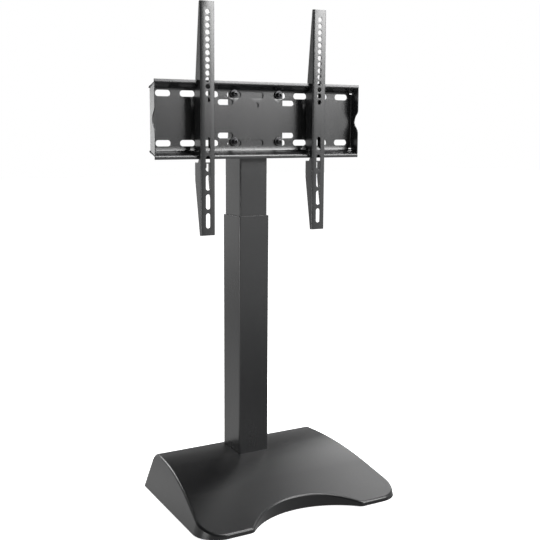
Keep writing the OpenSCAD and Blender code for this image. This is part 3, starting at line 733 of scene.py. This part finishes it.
def finish_sheet(name, bm, node):
    """Turns the sheet's faces to the front, gives it its thickness behind them, and breaks its cut edges."""
    nearly = 0.9

    def area_to_front(face):
        return face.calc_area() if abs(face.normal.dot(FRONT)) > nearly else 0

    bmesh.ops.remove_doubles(bm, verts=bm.verts, dist=SAME_PLACE)
    bmesh.ops.recalc_face_normals(bm, faces=bm.faces)
    if max(bm.faces, key=area_to_front).normal.dot(FRONT) < 0:
        bmesh.ops.reverse_faces(bm, faces=bm.faces)
    piece = finish_piece(name, bm, node, smooth_to=40)
    weigh = piece.modifiers["Weighted normals"]
    thickness = piece.modifiers.new("Sheet", "SOLIDIFY")
    thickness.thickness = SHEET * MM
    thickness.offset = -1
    thickness.use_even_offset = True
    thickness.use_quality_normals = True
    broken = piece.modifiers.new("Broken edges", "BEVEL")
    broken.width = CUT_EDGE * MM
    broken.segments = 2
    broken.limit_method = "ANGLE"
    broken.angle_limit = math.radians(50)
    broken.miter_outer = "MITER_ARC"
    piece.modifiers.move(piece.modifiers.find(weigh.name), len(piece.modifiers) - 1)


# ---------------------------------------------------------------- mount plate

# Millimetres, with heights from PLATE_Z. Faces are measured to where they would meet without their bends.
WEB_HALF = 60
FLANGE_REACH, FLANGE_RISE = 24.3, 8.2
FLANGE_HALF = 235.5
LIP_HEIGHT, LIP_LEAN = 7, 3
END_HALF = 233.5
END_OPENS = {-1: 1.2, 1: 0}
WEB_BEND, LIP_BEND, END_BEND = 3, 3.5, 1.5

# The lower half of an end's outline as depth and height, and the radii of all its corners
END_FRONT = 22.3
END_OUTLINE = ((43.6, -60.85), (END_FRONT, -68.05), (END_FRONT, -19.25), (34.3, -6.7))
END_RADII = (0.6, 0.8, 4, 6, 6, 4, 0.8, 0.6)

# The round relief in each corner of the web: height and radius, and how far its middle is inside the end
RELIEF_Z, RELIEF_R, RELIEF_IN, RELIEF_STEPS = 58.6, 2.4, 1.1, 8

# Holes as length and height
SLOTS, SLOT_ROW, SLOT_SIZE = 9, 47.4, (32, 12)
SHORT_X, SHORT_ROW, SHORT_SIZE = 71.3, 32.6, (34, 11)
PIN_ABOVE, PIN_SIZE = 28, (10, 10)

# Worked out from these: degrees that a flange turns by, what its two bends take off, and where the web ends
SLOPE = math.degrees(math.atan2(FLANGE_REACH, FLANGE_RISE))
FLANGE_LENGTH = math.hypot(FLANGE_REACH, FLANGE_RISE)
WEB_SETBACK = WEB_BEND * math.tan(math.radians(SLOPE / 2))
LIP_SETBACK = LIP_BEND * math.tan(math.radians(SLOPE / 2))
WEB_TOP = WEB_HALF - WEB_SETBACK
WEB_END = {side: END_HALF - END_OPENS[side] - END_BEND for side in (-1, 1)}


def web_outline():
    """The flat web's outline, with a round relief bitten out of each corner."""
    above = WEB_TOP - RELIEF_Z
    start = math.atan2(above, -math.sqrt(RELIEF_R**2 - above**2))
    stop = math.atan2(-math.sqrt(RELIEF_R**2 - RELIEF_IN**2), RELIEF_IN)
    sweep = [start + (stop - start) % math.tau * i / RELIEF_STEPS for i in range(RELIEF_STEPS + 1)]
    upper = [(RELIEF_R * math.cos(t) - RELIEF_IN, RELIEF_Z + RELIEF_R * math.sin(t)) for t in sweep]
    end = upper + [(x, -z) for x, z in reversed(upper)]
    right = [(WEB_END[1] + x, z) for x, z in end]
    left = [(-WEB_END[-1] - x, z) for x, z in end]
    return right + left[::-1]


def web_holes():
    """The web's holes: X, Z, length and height of each."""
    rows = [((i - SLOTS // 2) * SLOT_PITCH, ROWS_Z + s * SLOT_ROW, *SLOT_SIZE)
            for i in range(SLOTS) for s in (-1, 1)]
    short = [(r * SHORT_X, ROWS_Z + s * SHORT_ROW, *SHORT_SIZE) for r in (-1, 1) for s in (-1, 1)]
    return rows + short + [(0, ROWS_Z + PIN_ABOVE, *PIN_SIZE)]


def fold_flange(bm, up):
    """Folds a flange forward from the web's top (up 1) or bottom (up -1), and a lip up or down from it."""
    past_bend = 0.3
    top = PLATE_Z + up * WEB_TOP
    edge = fold_over(bm, rim_at(bm, "z", top), (0, WEB_Y - WEB_BEND, top), (1, 0, 0), up * SLOPE)
    along = Vector((0, -FLANGE_REACH, up * FLANGE_RISE)).normalized()
    draw_out(bm, edge, along * (FLANGE_LENGTH - WEB_SETBACK - LIP_SETBACK))
    flat_from = (PLATE_Z + up * (WEB_TOP + past_bend)) * MM
    sides = [e for e in bm.edges if e.is_boundary and abs(e.verts[0].co.x - e.verts[1].co.x) < SAME_PLACE
             and all((v.co.z - flat_from) * up > 0 for v in e.verts)]
    for side in sides:
        x = side.verts[0].co.x / MM
        draw_out(bm, [side], (math.copysign(FLANGE_HALF, x) - x, 0, 0))
    tip = PLATE_Z + up * (WEB_HALF + FLANGE_RISE - LIP_SETBACK * FLANGE_RISE / FLANGE_LENGTH)
    front = rim_at(bm, "z", tip)
    outward = Vector((0, FLANGE_RISE, up * FLANGE_REACH)).normalized()
    centre = Vector((0, front[0].verts[0].co.y / MM, tip)) + outward * LIP_BEND
    edge = fold_over(bm, front, centre, (1, 0, 0), -up * (SLOPE + LIP_LEAN))
    lean = math.radians(LIP_LEAN)
    draw_out(bm, edge, Vector((0, math.sin(lean), up * math.cos(lean))) * (LIP_HEIGHT - LIP_SETBACK))


def fold_end(bm, side):
    """Folds an end forward, with its notch, and opens it outward where it leans."""
    web_end, root_y = WEB_END[side], WEB_Y - END_BEND
    rim = rim_at(bm, "x", side * web_end)
    edge = fold_over(bm, rim, (side * web_end, root_y, PLATE_Z), (0, 0, 1), -side * 90, steps=5)
    outline = [(y, PLATE_Z + z) for y, z in (*END_OUTLINE, *((y, -z) for y, z in reversed(END_OUTLINE)))]
    before = set(bm.verts)
    add_flap(bm, edge[0], outline, side * (END_HALF - END_OPENS[side]), END_RADII)
    for v in set(bm.verts) - before:
        v.co.x += side * END_OPENS[side] * (root_y - v.co.y / MM) / (root_y - END_FRONT) * MM


def make_mount_plate():
    """A blank with its slots, folded forward all round, with lips above and below and notched ends."""
    bm = bmesh.new()
    outline_edge(bm, [(x, WEB_Y, PLATE_Z + z) for x, z in web_outline()])
    outline = set(bm.verts)
    for hole in web_holes():
        slot_edge(bm, *hole)
    bmesh.ops.translate(bm, verts=[v for v in bm.verts if v not in outline], vec=(0, WEB_Y * MM, 0))
    fill_sheet(bm)
    for up in (-1, 1):
        fold_flange(bm, up)
    for side in (-1, 1):
        fold_end(bm, side)
    finish_sheet("mount_plate_pressed", bm, "mount_plate")


# ---------------------------------------------------------------- arms

# Millimetres, with heights from ROWS_Z and depths from the arm's own front
ARM_X, ARM_FRONT_Y, ARM_HALF, ARM_BEND = 128.4, 12, 15.5, 2.6
ARM_TOP, ARM_BOTTOM = 219.5, -226
HOLES, FIRST_HOLE, HOLE_PITCH = 14, 200, 12.7
LONG_SLOTS, FIRST_SLOT, LONG_PITCH, LONG_LENGTH = 5, -49.6, 36.9, 29.5
HOLE_WIDTH = 9.6

# A cheek's outline as depth and height: narrow at both ends, and cut out to hook over the plate
CHEEK = (
    (6.5, ARM_BOTTOM), (25.5, -118), (25.5, -84.3), (12.8, -84.3), (9.8, -78.3), (9.8, -62.5), (25.5, -55),
    (25.5, 54), (9.8, 61.5), (9.8, 73.1), (12.8, 73.1), (12.8, 70.5), (22, 70.5), (22, 77), (6.5, ARM_TOP),
)

# The tab between the cheeks that the lock screw passes
TAB_Z, TAB_HALF, TAB_FRONT, TAB_BACK, TAB_HOLE_Y, TAB_HOLE_R = -84.3, 14.5, 1, 25.5, 19.5, 2.6


def make_arm(node, name, middle):
    """A channel: a face with holes and slots, two cheeks and the lock screw's tab."""
    bm = bmesh.new()
    flat = ARM_HALF - ARM_BEND
    low, high = ROWS_Z + ARM_BOTTOM, ROWS_Z + ARM_TOP
    outline_edge(bm, [(-flat, 0, low), (flat, 0, low), (flat, 0, high), (-flat, 0, high)])
    for i in range(HOLES):
        slot_edge(bm, 0, ROWS_Z + FIRST_HOLE - i * HOLE_PITCH, HOLE_WIDTH, HOLE_WIDTH)
    for i in range(LONG_SLOTS):
        slot_edge(bm, 0, ROWS_Z + FIRST_SLOT - i * LONG_PITCH, LONG_LENGTH, HOLE_WIDTH, along_x=False)
    fill_sheet(bm)
    for side in (-1, 1):
        rim = rim_at(bm, "x", side * flat)
        edge = fold_over(bm, rim, (side * flat, ARM_BEND, 0), (0, 0, 1), side * 90, steps=5)
        add_flap(bm, edge[0], [(y, ROWS_Z + z) for y, z in CHEEK], side * ARM_HALF)
    tab_z = ROWS_Z + TAB_Z
    tab = ((-TAB_HALF, TAB_FRONT), (TAB_HALF, TAB_FRONT), (TAB_HALF, TAB_BACK), (-TAB_HALF, TAB_BACK))
    outline_edge(bm, [(x, y, tab_z) for x, y in tab])
    hole = bmesh.ops.create_circle(bm, cap_ends=False, segments=HOLE_POINTS, radius=TAB_HOLE_R * MM)
    bmesh.ops.translate(bm, verts=hole["verts"], vec=Vector((0, TAB_HOLE_Y, tab_z)) * MM)
    fill_sheet(bm)
    bmesh.ops.translate(bm, verts=bm.verts, vec=Vector((middle, ARM_FRONT_Y, 0)) * MM)
    finish_sheet(name, bm, node)


# ---------------------------------------------------------------- screws, washers and small parts

# Rings of one piece from its front back, as height, radius and sides, in millimetres
SOCKET_RINGS = ((-2.8, 1.4, 0), (-2.6, 2.3, 6), (-0.4, 2.35, 6), (0, 2.75, 6))
HEAD_RINGS = ((0, 3.3, 0), (-0.25, 4.5, 0), (-0.9, 5, 0), (-5.8, 5, 0), (-6, 4.9, 0))
SHANK_RINGS = ((-6, 3, 0), (-19.8, 3, 0), (-20.6, 2.2, 0))
WASHER_RINGS = ((0, 3.2, 0), (0, 8.1, 0), (-0.15, 8.42, 0), (-0.45, 8.5, 0), (-1.15, 8.5, 0),
                (-1.45, 8.42, 0), (-1.6, 8.1, 0), (-1.6, 3.2, 0))
SCREW_FRONT_Y, WASHER_FRONT_Y = 39, 45


def at_corners(y):
    """The four places where the plate is screwed on, at a depth."""
    return [(x, y, HARDWARE_Z + z) for x in (-SLOT_PITCH, SLOT_PITCH) for z in (-HARDWARE_ROW, HARDWARE_ROW)]


def make_plate_screws():
    """Socket cap screws."""
    rings = SOCKET_RINGS + HEAD_RINGS + SHANK_RINGS
    screws = repeated(lambda bm: stack(bm, rings), at_corners(SCREW_FRONT_Y), FACING_FRONT)
    finish_piece("plate_screws_turned", screws, "plate_screws")


def make_plate_washers():
    """Washers with softly pressed rims, black like the screws."""
    def washer(bm):
        stack(bm, WASHER_RINGS, closed=True)

    washers = repeated(washer, at_corners(WASHER_FRONT_Y), FACING_FRONT)
    finish_piece("plate_washers_pressed", washers, "plate_washers", finish="black_screw")


def make_softened(node):
    """The node with its cut edges broken."""
    bm = copy_of(node)
    least, most = 40, 140
    round_edges(bm, folds(bm, least, most, lambda middle, along, edge: edge.is_convex), CUT_EDGE)
    finish_piece(node + "_finished", bm, node, smooth_to=36)


# ---------------------------------------------------------------- the whole


set_camera()
light_world(fill=0.3)
lay_floor(half_size=12)
hang_lamp("front right", turn=38.5, rise=21, distance=3, width=1.7, height=1, power=108)
hang_lamp("front above", turn=50, rise=56, distance=3, width=1.3, height=1, power=100)
hang_lamp("behind left", turn=-168.5, rise=1.2, distance=10, width=3.35, height=1.05, power=50)
hang_lamp("behind above", turn=-169, rise=28, distance=3, width=1.5, height=0.9, power=50)
hang_lamp("back right", turn=116.5, rise=25, distance=3, width=1.8, height=1.8, power=57, roll=45)
hang_lamp("left", turn=-75, rise=-5.5, distance=3, width=1.2, height=0.4, power=24)
bpy.context.scene.view_settings.view_transform = "Standard"

dress_nodes()
make_cover()
make_feet()
make_tube("outer_tube", "lower_tube")
make_tube("inner_tube", "upper_tube")
make_mount_plate()
make_arm("arm_left", "arm_left_pressed", -ARM_X)
make_arm("arm_right", "arm_right_pressed", ARM_X)
make_plate_screws()
make_plate_washers()
for node in ("glide_collar", "head_bracket", "head_screws", "tube_end_plate", "plate_nuts", "lock_screw_left",
             "lock_screw_right", "power_inlet", "base_plate"):
    make_softened(node)
